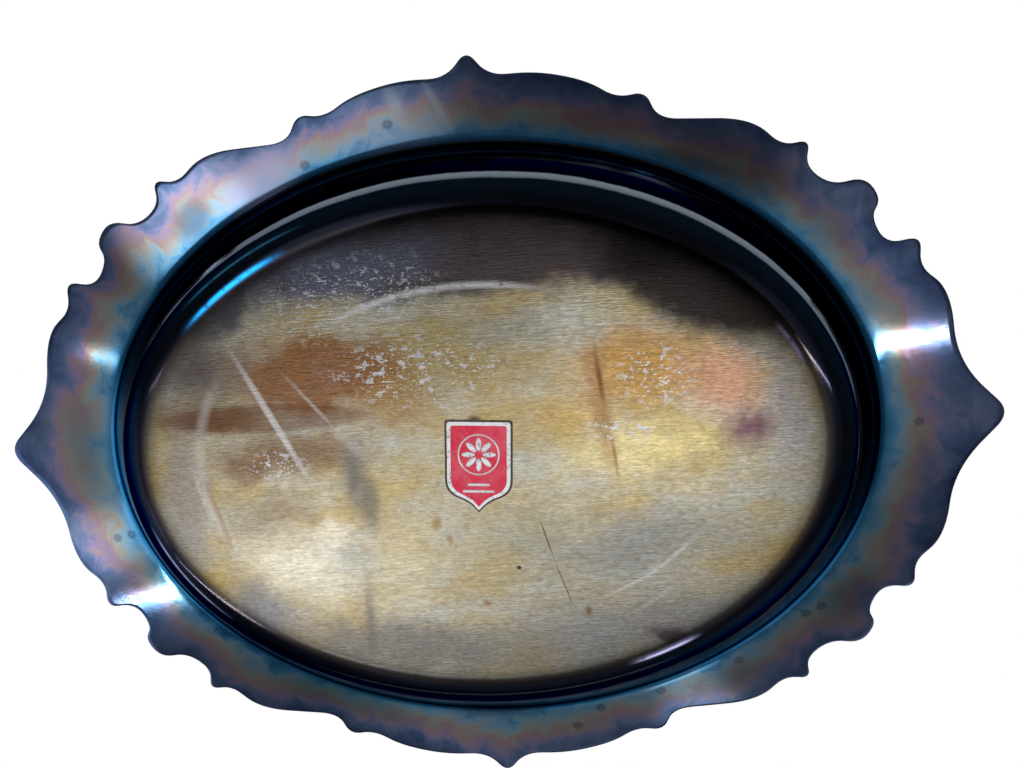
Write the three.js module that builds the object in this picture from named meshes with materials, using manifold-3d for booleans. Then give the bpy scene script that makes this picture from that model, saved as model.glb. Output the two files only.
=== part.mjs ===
// An oval well-and-rim salver in silver plate. It has a die-pressed sheet body with a
// scalloped rim, a cast border of shells and scrolls soldered on the front of the rim in
// sixteen lengths, and a foil label stuck under the base.
//
// Millimetres, +Z up. The salver stands on its base: the origin is the middle of the
// surface it stands on, +X runs along the long axis, and the well opens towards +Z.
import * as THREE from "three";
import { mergeVertices } from "three/addons/utils/BufferGeometryUtils.js";
import Module from "manifold-3d";

const wasm = await Module();
wasm.setup();

// ---- Driving dimensions ----

const SHEET = 1.0; // thickness of the plated sheet
const GAP = 0.3; // clearance between neighbouring pieces

// The pressing is described by its section over the short half axis. Along the long half
// axis the same section is pushed out by the difference between the two half axes.
const BASE_X = 137.5; // half axes of the base where the shoulder begins
const BASE_Y = 95.5;
const RECESS_R = 72; // flat middle of the base, lifted clear of the table
const RECESS_Z = 1;
const FOOT_R = 82; // inner edge of the flat ring that the salver stands on
const SHOULDER_R = 20; // outer radius of the bend from base to wall
const RIM_START = [129.5, 35]; // where the wall and the rim would meet in a sharp corner
const WALL_ANGLE = THREE.MathUtils.degToRad(56.4); // rise of the wall
const RIM_ANGLE = THREE.MathUtils.degToRad(11.3); // rise of the rim
const FILLET_R = 7; // radius of the bend from wall to rim, on its hollow side
const PRESSING_R = 200; // the pressed blank reaches here before its edge is trimmed
const STATIONS = 72; // facets round the oval
const SHOULDER_STEPS = 4;
const FILLET_STEPS = 3;

const BORDER_HEIGHT = 3.4; // the cast border, above the rim's front
const TRIM_FROM = -10; // trimming dies and saw cuts reach from here
const TRIM_DEPTH = 80; // through the whole salver

// Corners of one quarter of the trimmed edge, from the end tip on +X to the side tip on
// +Y: [x, y, length of the rounding along each side].
const EDGE_QUARTER = [
  [232, 0, 9], // end tip
  [206, 24, 18],
  [203.5, 55, 30], // first lobe
  [189.5, 66, 6],
  [190.8, 78.8, 6], // first nub
  [175, 76, 8],
  [168.5, 88, 7],
  [173.5, 95, 5], // second nub, with two rounded horns
  [167, 105, 7],
  [152, 102, 7],
  [141, 110.5, 8],
  [144.2, 121.8, 6], // third nub
  [132, 119.5, 6],
  [119, 131.8, 14], // second lobe
  [79.5, 133.5, 9],
  [75.5, 145.5, 6], // fourth nub
  [63, 143, 12],
  [51, 151.3, 14], // third lobe
  [30, 156.5, 10],
  [9, 156, 8],
  [0, 167.6, 6], // side tip
];

// The border's inner edge, in the same form.
const BORDER_INNER_QUARTER = [
  [182, 0, 7], // leaf under the end shell
  [188, 11, 5],
  [183, 19, 3],
  [186.5, 34, 9],
  [180, 50, 8],
  [169, 57, 4],
  [171, 65, 5],
  [158, 74, 6],
  [153, 84, 6],
  [154, 93, 5],
  [139, 95, 7],
  [124, 101, 5],
  [122, 108, 4],
  [106, 115, 9],
  [84, 119.5, 8],
  [68, 124.5, 6],
  [62, 132, 6],
  [44, 138, 10],
  [21, 139.5, 4],
  [13, 145, 4],
  [0, 137, 7], // leaf under the side shell
];

// Where the border is sawn into lengths: [inner end, outer end] of each cut in a quarter.
const SAW_CUTS = [
  [[176, 15], [224, 31]], // end shell to short scroll
  [[165, 57.8], [207, 71.9]], // short scroll to corner cluster
  [[116.5, 96], [143, 137]], // corner cluster to long scroll
  [[22, 130], [26, 172]], // long scroll to side shell
];

// The lengths in order round the border, starting at the end tip on +X.
const BORDER_NAMES = [
  "end_shell_right",
  "short_scroll_back_right",
  "corner_cluster_back_right",
  "long_scroll_back_right",
  "side_shell_back",
  "long_scroll_back_left",
  "corner_cluster_back_left",
  "short_scroll_back_left",
  "end_shell_left",
  "short_scroll_front_left",
  "corner_cluster_front_left",
  "long_scroll_front_left",
  "side_shell_front",
  "long_scroll_front_right",
  "corner_cluster_front_right",
  "short_scroll_front_right",
];

const LABEL_WIDTH = 26;
const LABEL_LENGTH = 37;
const LABEL_STRAIGHT = 28; // straight sides, above the pointed foot
const LABEL_THICKNESS = 0.2;
const LABEL_CENTRE = [-0.3, 4.6];
const LABEL_TURN = THREE.MathUtils.degToRad(3); // it was stuck on slightly askew

// ---- Shapes ----

// A closed outline with each corner rounded by a curve tangent to both of its sides.
function rounded(corners) {
  const shape = new THREE.Shape();
  corners.forEach(([x, y, rounding], i) => {
    const corner = new THREE.Vector2(x, y);
    const towards = ([nx, ny]) => {
      const side = new THREE.Vector2(nx, ny).sub(corner);
      return side.setLength(Math.min(rounding, side.length() / 2)).add(corner);
    };
    const begin = towards(corners.at(i - 1));
    const end = towards(corners[(i + 1) % corners.length]);
    if (i === 0) shape.moveTo(begin.x, begin.y);
    else shape.lineTo(begin.x, begin.y);
    shape.quadraticCurveTo(x, y, end.x, end.y);
  });
  shape.closePath();
  return shape;
}

// A quarter, from a corner on +X to a corner on +Y, mirrored into the whole way round.
function mirrored(quarter) {
  const left = quarter.slice(0, -1).reverse().map(([x, ...rest]) => [-x, ...rest]);
  const back = [...quarter, ...left];
  const front = back.slice(1, -1).reverse().map(([x, y, ...rest]) => [x, -y, ...rest]);
  return [...back, ...front];
}

// The pressing's section, raised from its underside by `lift` at right angles to the
// surface: [distance over the short half axis, height] from the middle to the outside.
function section(lift) {
  const points = [
    [0, RECESS_Z + lift],
    [RECESS_R, RECESS_Z + lift],
    [FOOT_R, lift],
  ];
  for (let i = 0; i <= SHOULDER_STEPS; i++) {
    const angle = (WALL_ANGLE * i) / SHOULDER_STEPS;
    const radius = SHOULDER_R - lift;
    points.push([BASE_Y + radius * Math.sin(angle), SHOULDER_R - radius * Math.cos(angle)]);
  }
  return [...points, ...rimSection(lift)];
}

// The part of that section from the bend at the top of the wall outwards.
function rimSection(lift) {
  const tangent = FILLET_R * Math.tan((WALL_ANGLE - RIM_ANGLE) / 2);
  const centre = [
    RIM_START[0] + tangent * Math.cos(RIM_ANGLE) + FILLET_R * Math.sin(RIM_ANGLE),
    RIM_START[1] + tangent * Math.sin(RIM_ANGLE) - FILLET_R * Math.cos(RIM_ANGLE),
  ];
  const points = [];
  for (let i = 0; i <= FILLET_STEPS; i++) {
    const angle = THREE.MathUtils.lerp(WALL_ANGLE, RIM_ANGLE, i / FILLET_STEPS);
    const radius = FILLET_R + lift;
    points.push([centre[0] - radius * Math.sin(angle), centre[1] + radius * Math.cos(angle)]);
  }
  const run = PRESSING_R - points.at(-1)[0];
  points.push([PRESSING_R, points.at(-1)[1] + run * Math.tan(RIM_ANGLE)]);
  return points;
}

// A section turned round the oval.
function pressed(points) {
  const profile = points.map(([radius, height]) => new THREE.Vector2(radius, height));
  const geometry = new THREE.LatheGeometry(profile, STATIONS).rotateX(Math.PI / 2);
  const position = geometry.attributes.position;
  for (let i = 0; i < position.count; i++) {
    const radius = Math.hypot(position.getX(i), position.getY(i));
    const long = radius < BASE_Y ? (radius * BASE_X) / BASE_Y : radius + BASE_X - BASE_Y;
    if (radius > 0) position.setX(i, (position.getX(i) * long) / radius);
  }
  return solid(geometry);
}

// An outline as a straight-sided die, deep enough to trim the whole salver.
function die(shape, steps) {
  const geometry = new THREE.ExtrudeGeometry(shape, {
    depth: TRIM_DEPTH,
    bevelEnabled: false,
    curveSegments: steps,
  });
  return solid(geometry.translate(0, 0, TRIM_FROM));
}

// A saw cut from one point to another, in plan.
function sawCut([from, to]) {
  const length = Math.hypot(to[0] - from[0], to[1] - from[1]);
  const blade = new THREE.BoxGeometry(length, GAP, TRIM_DEPTH);
  blade.rotateZ(Math.atan2(to[1] - from[1], to[0] - from[0]));
  const middle = [(from[0] + to[0]) / 2, (from[1] + to[1]) / 2, TRIM_FROM + TRIM_DEPTH / 2];
  return solid(blade.translate(...middle));
}

// ---- Solids and meshes ----

// A closed three.js geometry as a solid that can be cut.
function solid(geometry) {
  const bare = new THREE.BufferGeometry();
  bare.setAttribute("position", geometry.attributes.position);
  bare.setIndex(geometry.index);
  const merged = mergeVertices(bare);
  const corners = merged.index.array;
  const triangles = [];
  for (let i = 0; i < corners.length; i += 3) {
    const [a, b, c] = corners.subarray(i, i + 3);
    if (a !== b && b !== c && c !== a) triangles.push(a, b, c);
  }
  return new wasm.Manifold(
    new wasm.Mesh({
      numProp: 3,
      vertProperties: merged.attributes.position.array,
      triVerts: new Uint32Array(triangles),
    }),
  );
}

function mesh(name, body, material) {
  const { vertProperties, triVerts } = body.getMesh();
  const geometry = new THREE.BufferGeometry();
  geometry.setAttribute("position", new THREE.BufferAttribute(vertProperties, 3));
  geometry.setIndex(new THREE.BufferAttribute(triVerts, 1));
  const faceted = geometry.toNonIndexed();
  faceted.computeVertexNormals();
  const made = new THREE.Mesh(faceted, material);
  made.name = name;
  return made;
}

// ---- The pieces ----

const tarnishedPlate = new THREE.MeshStandardMaterial({
  color: "#8a8378",
  roughness: 0.3,
  metalness: 1,
});
const castSilver = new THREE.MeshStandardMaterial({
  color: "#b9b5ab",
  roughness: 0.28,
  metalness: 1,
});
const redFoil = new THREE.MeshStandardMaterial({
  color: "#c4122f",
  roughness: 0.35,
  metalness: 0.4,
});

const EDGE_STEPS = 3; // facets on each rounded corner of the trimmed edge

function trayBody(blank) {
  const closed = [...section(0), ...section(SHEET).reverse()];
  return mesh("tray_body", pressed(closed).intersect(blank), tarnishedPlate);
}

// The border is one ring over the rim, between the trimmed edge and its own inner edge,
// sawn into its lengths.
function borderLengths(blank) {
  const under = SHEET + GAP;
  const layer = pressed([
    ...rimSection(under).slice(FILLET_STEPS),
    ...rimSection(under + BORDER_HEIGHT).slice(FILLET_STEPS).reverse(),
    rimSection(under)[FILLET_STEPS],
  ]);
  const opening = die(rounded(mirrored(BORDER_INNER_QUARTER)), EDGE_STEPS);
  let ring = layer.intersect(blank).subtract(opening);
  for (const [from, to] of SAW_CUTS) {
    for (const [sx, sy] of [[1, 1], [-1, 1], [-1, -1], [1, -1]]) {
      ring = ring.subtract(sawCut([from, to].map(([x, y]) => [x * sx, y * sy])));
    }
  }
  // In order round the border, counted from half a length before the end tip on +X.
  const half = Math.PI / BORDER_NAMES.length;
  const turn = (body) => {
    const { min, max } = body.boundingBox();
    const angle = Math.atan2(min[1] + max[1], min[0] + max[0]) + half;
    return THREE.MathUtils.euclideanModulo(angle, 2 * Math.PI);
  };
  const lengths = ring.decompose().sort((a, b) => turn(a) - turn(b));
  return lengths.map((body, i) => mesh(BORDER_NAMES[i], body, castSilver));
}

// A foil shield with a straight head and a pointed foot, hung under the base with its
// head towards -Y.
function label() {
  const half = LABEL_WIDTH / 2;
  const head = -LABEL_LENGTH / 2;
  const shoulder = head + LABEL_STRAIGHT;
  const foot = LABEL_LENGTH / 2;
  const shape = new THREE.Shape();
  shape.moveTo(-half, head);
  shape.lineTo(half, head);
  shape.lineTo(half, shoulder);
  shape.quadraticCurveTo(half, foot - 3, 0, foot);
  shape.quadraticCurveTo(-half, foot - 3, -half, shoulder);
  shape.closePath();
  const geometry = new THREE.ExtrudeGeometry(shape, {
    depth: LABEL_THICKNESS,
    bevelEnabled: false,
    curveSegments: 6,
  });
  const made = new THREE.Mesh(geometry, redFoil);
  made.name = "label";
  made.rotation.z = LABEL_TURN;
  made.position.set(...LABEL_CENTRE, RECESS_Z - GAP - LABEL_THICKNESS);
  return made;
}

const blank = die(rounded(mirrored(EDGE_QUARTER)), EDGE_STEPS);
const salver = new THREE.Group();
salver.add(trayBody(blank), ...borderLengths(blank), label());

export default salver;
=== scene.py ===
import math

import bpy
import numpy as np
from mathutils import Matrix, Vector


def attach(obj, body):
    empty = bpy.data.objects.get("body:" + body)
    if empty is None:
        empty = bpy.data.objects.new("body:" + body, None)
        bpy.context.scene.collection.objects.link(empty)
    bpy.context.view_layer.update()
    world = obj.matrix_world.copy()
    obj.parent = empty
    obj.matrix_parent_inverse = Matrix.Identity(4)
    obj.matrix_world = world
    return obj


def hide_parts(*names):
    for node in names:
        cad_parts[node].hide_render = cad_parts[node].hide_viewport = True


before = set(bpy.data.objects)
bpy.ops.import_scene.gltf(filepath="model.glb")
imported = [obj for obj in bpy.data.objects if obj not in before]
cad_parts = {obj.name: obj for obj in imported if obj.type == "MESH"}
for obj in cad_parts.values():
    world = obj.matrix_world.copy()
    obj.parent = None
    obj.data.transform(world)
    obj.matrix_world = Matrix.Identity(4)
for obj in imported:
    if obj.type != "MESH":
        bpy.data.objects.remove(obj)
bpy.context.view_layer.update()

# An oval silver-plated salver: a pressed body, a cast border in sixteen lengths on the front
# of its rim, and a foil label under its base. Lengths here are in millimetres until a mesh
# is made, and MM turns them into Blender's metres.

MM = 0.001

# ---- The pressing, as in the CAD ----

SHEET = 1.0  # thickness
BASE_X, BASE_Y = 137.5, 95.5  # half axes where the shoulder begins
STRETCH = BASE_X - BASE_Y  # the long half axis is this much longer all the way up
FOOT_R = 84  # inner edge of the ring it stands on
DISH = 1  # the middle of the base is lifted by this much
SHOULDER_R = 20
WALL_ANGLE = math.radians(56.4)
RIM_ANGLE = math.radians(11.3)
FILLET_R = 7
RIM_START = (129.5, 35)  # where wall and rim would meet in a sharp corner

# Corners of a quarter of the trimmed edge, with the length of each one's rounding.
EDGE_QUARTER = [
    (232, 0, 9), (206, 24, 18), (203.5, 55, 30), (189.5, 66, 6), (190.8, 78.8, 6),
    (175, 76, 8), (168.5, 88, 7), (173.5, 95, 5), (167, 105, 7), (152, 102, 7),
    (141, 110.5, 8), (144.2, 121.8, 6), (132, 119.5, 6), (119, 131.8, 14),
    (79.5, 133.5, 9), (75.5, 145.5, 6), (63, 143, 12), (51, 151.3, 14),
    (30, 156.5, 10), (9, 156, 8), (0, 167.6, 6),
]
EDGE_STEP = 2.1  # spacing of the mesh along the edge
WALL_RUN = RIM_START[0] - BASE_Y  # from the shoulder's foot out to the rim
BASE_ROWS = 9  # of the mesh across the base
SHOULDER_ROWS, FILLET_ROWS = 10, 7


def mirrored(quarter):
    """A quarter, from a corner on +X to a corner on +Y, mirrored into the whole way round."""
    left = [(-x, y, rounding) for x, y, rounding in quarter[-2::-1]]
    back = quarter + left
    front = [(x, -y, rounding) for x, y, rounding in back[-2:0:-1]]
    return back + front


def rounded(corners, step):
    """Points about step apart round a closed outline, each corner rounded by a curve
    tangent to both of its sides."""
    points = []
    for i, (x, y, rounding) in enumerate(corners):
        corner = np.array((x, y))
        before = np.array(corners[i - 1][:2]) - corner
        after = np.array(corners[(i + 1) % len(corners)][:2]) - corner
        begin = corner + before * min(rounding / np.linalg.norm(before), 0.5)
        end = corner + after * min(rounding / np.linalg.norm(after), 0.5)
        if points:
            run = begin - points[-1]
            count = max(1, round(np.linalg.norm(run) / step))
            points += [points[-1] + run * k / count for k in range(1, count)]
        sides = np.linalg.norm(corner - begin) + np.linalg.norm(end - corner)
        count = max(3, round(sides / step))
        for k in range(count + 1):
            u = k / count
            points.append((1 - u) ** 2 * begin + 2 * u * (1 - u) * corner + u * u * end)
    run = points[0] - points[-1]
    count = max(1, round(np.linalg.norm(run) / step))
    points += [points[-1] + run * k / count for k in range(1, count)]
    kept = [p for p, q in zip(points, points[1:] + points[:1]) if np.linalg.norm(p - q) > 0.05]
    return np.array(kept)


def to_press(points):
    """Where points in plan lie on the pressing: its turn round the oval, and its distance
    out along the short half axis."""
    x, y = points[:, 0], points[:, 1]
    low, high = np.full(len(x), 1e-6), np.full(len(x), 300.0)
    for _ in range(50):
        middle = (low + high) / 2
        long = np.where(middle < BASE_Y, middle * BASE_X / BASE_Y, middle + STRETCH)
        outside = (x / long) ** 2 + (y / middle) ** 2 > 1
        low, high = np.where(outside, middle, low), np.where(outside, high, middle)
    long = np.where(middle < BASE_Y, middle * BASE_X / BASE_Y, middle + STRETCH)
    return np.arctan2(y / middle, x / long), middle


def from_press(turn, out):
    """The plan position of a point on the pressing."""
    long = np.where(out < BASE_Y, out * BASE_X / BASE_Y, out + STRETCH)
    return long * np.cos(turn), out * np.sin(turn)


EDGE = rounded(mirrored(EDGE_QUARTER), EDGE_STEP)
EDGE_TURN, EDGE_OUT = to_press(EDGE)


def edge_out(turn):
    """How far out the trimmed edge is at a turn round the oval."""
    order = np.argsort(EDGE_TURN)
    return np.interp(turn, EDGE_TURN[order], EDGE_OUT[order], period=2 * math.pi)


def well_section():
    """The underside's section from the middle to where the rim begins: (out, height)."""
    points = [(FOOT_R * k / BASE_ROWS, DISH * (1 - (k / BASE_ROWS) ** 2))
              for k in range(BASE_ROWS + 1)]
    points.append(((FOOT_R + BASE_Y) / 2, 0))
    for k in range(SHOULDER_ROWS + 1):
        angle = WALL_ANGLE * k / SHOULDER_ROWS
        points.append((BASE_Y + SHOULDER_R * math.sin(angle),
                       SHOULDER_R * (1 - math.cos(angle))))
    tangent = FILLET_R * math.tan((WALL_ANGLE - RIM_ANGLE) / 2)
    centre = (RIM_START[0] + tangent * math.cos(RIM_ANGLE) + FILLET_R * math.sin(RIM_ANGLE),
              RIM_START[1] + tangent * math.sin(RIM_ANGLE) - FILLET_R * math.cos(RIM_ANGLE))
    wall_top = (centre[0] - FILLET_R * math.sin(WALL_ANGLE),
                centre[1] + FILLET_R * math.cos(WALL_ANGLE))
    wall_foot = points[-1]
    for share in (0.33, 0.67):
        points.append((wall_foot[0] + (wall_top[0] - wall_foot[0]) * share,
                       wall_foot[1] + (wall_top[1] - wall_foot[1]) * share))
    for k in range(FILLET_ROWS + 1):
        angle = WALL_ANGLE + (RIM_ANGLE - WALL_ANGLE) * k / FILLET_ROWS
        points.append((centre[0] - FILLET_R * math.sin(angle),
                       centre[1] + FILLET_R * math.cos(angle)))
    return points


WELL = well_section()
RIM_FOOT = WELL[-1]  # where the rim becomes straight


def rim_height(out):
    """Height of the rim's underside."""
    return RIM_FOOT[1] + (out - RIM_FOOT[0]) * math.tan(RIM_ANGLE)


# ---- Small helpers ----


def linear(colour):
    """An sRGB hex colour as linear red, green and blue."""
    shares = [int(colour[i:i + 2], 16) / 255 for i in (1, 3, 5)]
    return [c / 12.92 if c <= 0.04045 else ((c + 0.055) / 1.055) ** 2.4 for c in shares]


def add(tree, kind, *values, out=0, stops=(), **settings):
    """Adds a node with its settings and links, and gives one of its outputs. The values go to
    its inputs in their order, or a dict says which input each one goes to. A value is a
    number, a vector, an sRGB hex colour, or the socket that feeds the input. The stops are a
    ramp's (position, colour) pairs."""
    made = tree.nodes.new("ShaderNode" + kind)
    for name, value in settings.items():
        setattr(made, name, value)
    by_name = values and isinstance(values[0], dict)
    for name, value in (values[0] if by_name else dict(enumerate(values))).items():
        socket = made.inputs[name]
        if isinstance(value, bpy.types.NodeSocket):
            tree.links.new(value, socket)
        elif isinstance(value, str):
            socket.default_value = (*linear(value), 1)
        else:
            socket.default_value = value
    for i, (position, colour) in enumerate(stops):
        ramp = made.color_ramp.elements
        element = ramp[i] if i < 2 else ramp.new(position)
        element.position = position
        element.color = (*linear(colour), 1)
    return made.outputs[out] if made.outputs else made


SMOOTH = {"interpolation_type": "SMOOTHSTEP"}  # for a range that eases in and out

# ---- Camera and stage ----


CAMERA_PLACE = (39.0, -78.5, -331.8)
CAMERA_TOWARDS = (-0.0709, 0.1473, 0.9866)
CAMERA_UP = (0.0431, -0.9877, 0.1505)
LENS, SENSOR = 29.6, 36
FLOOR_SIZE = 6  # metres
FLOOR_GAP = 0.3  # clears the base, so that the two don't flicker


def make_camera():
    """Below the salver, looking up at its underside, a little off the middle."""
    data = bpy.data.cameras.new("camera")
    data.lens, data.sensor_width = LENS, SENSOR
    data.clip_start = 0.01
    camera = bpy.data.objects.new("camera", data)
    bpy.context.scene.collection.objects.link(camera)
    forward = Vector(CAMERA_TOWARDS).normalized()
    right = forward.cross(Vector(CAMERA_UP)).normalized()
    up = right.cross(forward)
    turn = Matrix((right, up, -forward)).transposed().to_4x4()
    camera.matrix_world = Matrix.Translation(Vector(CAMERA_PLACE) * MM) @ turn
    bpy.context.scene.camera = camera


def make_floor():
    """A plain pale floor under the salver. Only what looks at it from above sees it, and it
    stands in nobody's light."""
    bpy.ops.mesh.primitive_plane_add(size=FLOOR_SIZE, location=(0, 0, -FLOOR_GAP * MM))
    floor = bpy.context.object
    floor.name = "floor"
    for ray in ("diffuse", "glossy", "transmission", "volume_scatter", "shadow"):
        setattr(floor, "visible_" + ray, False)
    material = bpy.data.materials.new("matt_pale_floor")
    material.use_nodes = True
    tree = material.node_tree
    paint = tree.nodes["Principled BSDF"]
    paint.inputs["Base Color"].default_value = (*linear("#e9e8e6"), 1)
    paint.inputs["Roughness"].default_value = 0.9
    paint.inputs["Specular IOR Level"].default_value = 0.2
    from_below = add(tree, "NewGeometry", out="Backfacing")
    one_sided = add(tree, "MixShader", from_below, paint.outputs[0], add(tree, "BsdfTransparent"))
    tree.links.new(one_sided, tree.nodes["Material Output"].inputs["Surface"])
    floor.data.materials.append(material)


# The room round the salver: where it is light, and where someone stands in the way.
# (direction, inner angle, outer angle, strength)
LIGHTS_ROUND = [
    ((0, 0, 1), 50, 92, 0.75),  # pale ceiling
    ((-0.43, -0.44, -0.79), 8, 20, 0.80),  # window, high on the left
    ((-0.06, 0.28, -0.96), 12, 22, 0.50),  # open sky beyond the near side
    ((-0.29, 0.32, -0.90), 3, 12, 1.00),  # its brightest parts
    ((-0.11, 0.27, -0.95), 2, 8, 0.35),
    ((0.06, 0.20, -0.98), 2, 10, 1.05),
    ((0.14, 0.18, -0.97), 2, 7, 0.65),
    ((-0.44, 0.28, -0.85), 3, 12, 0.40),
    ((0.25, 0.17, -0.95), 1, 8, 0.75),
    ((0.0, 0.82, -0.57), 4, 26, 0.20),
    ((-0.75, 0.2, -0.63), 6, 26, 0.30),
    ((0.64, -0.26, -0.72), 4, 16, 0.26),
    ((0.72, 0.12, -0.68), 4, 18, 0.14),
    ((-0.60, -0.31, -0.735), 3, 9, 1.60),  # panes that glint on the shoulder
    ((0.24, 0.78, -0.575), 1, 5, 1.30),
    ((-0.775, 0.381, -0.505), 2, 6, 1.20),
    ((-0.93, 0.35, -0.05), 6, 32, 1.50),  # low light that draws the line where the rim begins
    ((0.60, 0.78, -0.02), 6, 30, 0.60),
]
SHADES_ROUND = [
    ((-0.04, -0.22, -0.975), 15, 19, 0.93),  # the person looking at it
    ((0.28, -0.10, -0.95), 14, 18, 0.93),
    ((-0.36, -0.14, -0.92), 6, 14, 0.50),
    ((0.0, 0.62, -0.78), 10, 19, 0.55),
    ((0.22, -0.52, -0.82), 8, 22, 0.30),
    ((0.25, 0.35, 0.90), 4, 34, 0.45),  # a darker part of the ceiling
]
ROOM_LIGHT = 0.2  # from everywhere
LAMP_DISTANCE = 1.5


def make_light():
    """A plain soft studio: an even pale room, seen by the salver with lighter and darker
    parts, and small bright lamps that streak the rim."""
    world = bpy.data.worlds.new("studio")
    bpy.context.scene.world = world
    world.use_nodes = True
    tree = world.node_tree
    tree.nodes.clear()
    direction = add(tree, "TexCoord", out="Generated")
    light = ROOM_LIGHT
    for lobes, operation in ((LIGHTS_ROUND, "ADD"), (SHADES_ROUND, "MULTIPLY")):
        for towards, inner, outer, strength in lobes:
            aim = add(tree, "VectorMath", direction, Vector(towards).normalized(),
                      operation="DOT_PRODUCT", out="Value")
            edge, full = math.cos(math.radians(outer)), math.cos(math.radians(inner))
            least, most = (0, strength) if operation == "ADD" else (1, 1 - strength)
            share = add(tree, "MapRange", aim, edge, full, least, most, **SMOOTH)
            light = add(tree, "Math", light, share, operation=operation)
    room = add(tree, "Background", {"Color": (0.97, 0.985, 1, 1), "Strength": light})
    backdrop = add(tree, "Background", {"Color": (1, 1, 1, 1), "Strength": 1.0})
    seen = add(tree, "LightPath", out="Is Camera Ray")
    add(tree, "OutputWorld", add(tree, "MixShader", seen, room, backdrop))
    lamp("streak_right", (0.69, -0.03, -0.72), 0.016, 0.46, -10, 1.1)
    lamp("streak_left", (-0.65, 0.53, -0.55), 0.016, 0.55, -38, 1.1)
    lamp("faint_streak_left", (-0.78, -0.06, -0.62), 0.04, 0.30, 0, 0.12)
    lamp("key_above", (-0.45, -0.5, 0.74), 0.9, 0.9, 0, 6)
    lamp("fill_below", (0.1, 0.1, -1), 0.9, 0.9, 0, 5).visible_glossy = False


def lamp(name, direction, width, height, roll, power):
    """A rectangular lamp in one direction, facing the salver and rolled by some degrees."""
    data = bpy.data.lights.new(name, "AREA")
    data.shape = "RECTANGLE"
    data.size, data.size_y = width, height
    data.energy = power
    made = bpy.data.objects.new(name, data)
    bpy.context.scene.collection.objects.link(made)
    place = Vector(direction).normalized() * LAMP_DISTANCE
    facing = (-place).to_track_quat("-Z", "Y").to_matrix()
    turned = facing @ Matrix.Rotation(math.radians(roll), 3, "Z")
    made.matrix_world = Matrix.Translation(place) @ turned.to_4x4()
    return made


# ---- Patterns ----


def new_metal(name):
    """A metal, its tree and shader, and the object's own place in millimetres."""
    material = bpy.data.materials.new(name)
    material.use_nodes = True
    tree = material.node_tree
    surface = tree.nodes["Principled BSDF"]
    surface.inputs["Metallic"].default_value = 1
    own = add(tree, "TexCoord", out="Object")
    place = add(tree, "Mapping", {"Vector": own, "Scale": [1 / MM] * 3})
    return material, tree, surface, place


def finish_metal(tree, surface, colour, roughness, normal):
    """Links what varies over the surface to the shader."""
    tree.links.new(colour, surface.inputs["Base Color"])
    tree.links.new(roughness, surface.inputs["Roughness"])
    tree.links.new(normal, surface.inputs["Normal"])


def grain(tree, place, size, stretch=(1, 1, 1), turn=0, low=0.3, high=0.7, detail=3, warp=0):
    """Random patches about size millimetres across, drawn out by stretch: 0 where there is
    none, 1 where they are full."""
    drawn = add(tree, "Mapping", {"Vector": place, "Rotation": (0, 0, math.radians(turn)),
                                  "Scale": [k * size for k in stretch]}, vector_type="TEXTURE")
    noise = add(tree, "TexNoise", {"Vector": drawn, "Scale": 1.0, "Detail": detail,
                                   "Roughness": 0.6, "Distortion": warp})
    return add(tree, "MapRange", noise, low, high, **SMOOTH)


def patch(tree, place, centre, half, turn=0, soft=0.6, amount=1.0):
    """One patch on the plan: full in its middle, fading over its outer share."""
    inside = add(tree, "Mapping", {"Vector": place, "Location": (*centre, 20),
                                   "Rotation": (0, 0, math.radians(turn)),
                                   "Scale": (*half, 1000)}, vector_type="TEXTURE")
    near = add(tree, "TexGradient", inside, gradient_type="SPHERICAL", out="Fac")
    return add(tree, "MapRange", near, 0.0, soft, 0.0, amount, **SMOOTH)


def laid_over(tree, colour, place, stains):
    """A colour with patches laid over it, one after another: stains, and in some tables painted
    light.
    """
    for centre, half, turn, soft, stain, amount in stains:
        share = patch(tree, place, centre, half, turn, soft, amount)
        colour = add(tree, "Mix", {0: share, 6: colour, 7: stain}, out=2, data_type="RGBA")
    return colour


def stroke(x0, y0, x1, y1, width, soft, colour, amount):
    """A straight mark from one point to another, as a row for a table of patches. Most are
    stains; one is the tail of a painted shadow.
    """
    half = (math.hypot(x1 - x0, y1 - y0) / 2, width / 2)
    turn = math.degrees(math.atan2(y1 - y0, x1 - x0))
    return ((x0 + x1) / 2, (y0 + y1) / 2), half, turn, soft, colour, amount


# ---- Materials ----

# Tarnish on the underside is a thin clear film of sulphide: its colour runs through straw,
# brown, purple and blue as it thickens. From the base outwards: (reach, colour).
# From -0.96 to -0.07, on the shoulder and wall, the stops are painted light over the tarnish:
# their near-black is painted shade for dark surroundings seen in the metal, the pale ribbon
# from -0.54 to -0.475 is a painted reflection, and the thin paler lines from -0.27 to -0.13
# are painted highlights.
TARNISH_FILM_AND_PAINTED_LIGHT = [
    (-1.1, "#8a7f84"), (-0.96, "#564c54"), (-0.86, "#22242f"), (-0.76, "#141b27"),
    (-0.62, "#1c2a3a"), (-0.555, "#161d28"), (-0.54, "#747b85"), (-0.475, "#858c95"),
    (-0.46, "#10151e"), (-0.3, "#182230"), (-0.27, "#4a4440"), (-0.25, "#151d29"),
    (-0.21, "#24384a"), (-0.19, "#6288a4"), (-0.17, "#141f2e"), (-0.13, "#2f4a60"),
    (-0.11, "#121c29"), (-0.07, "#11202f"), (-0.05, "#8a7d68"), (-0.03, "#183049"),
    (0.02, "#245b84"), (0.09, "#4684ad"), (0.18, "#7099b4"), (0.29, "#869aa2"),
    (0.40, "#94928c"), (0.52, "#957f80"), (0.63, "#8a7c98"), (0.74, "#6c7498"),
    (0.86, "#51668a"), (1.0, "#44557a"), (1.2, "#333f60"),
]
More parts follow.
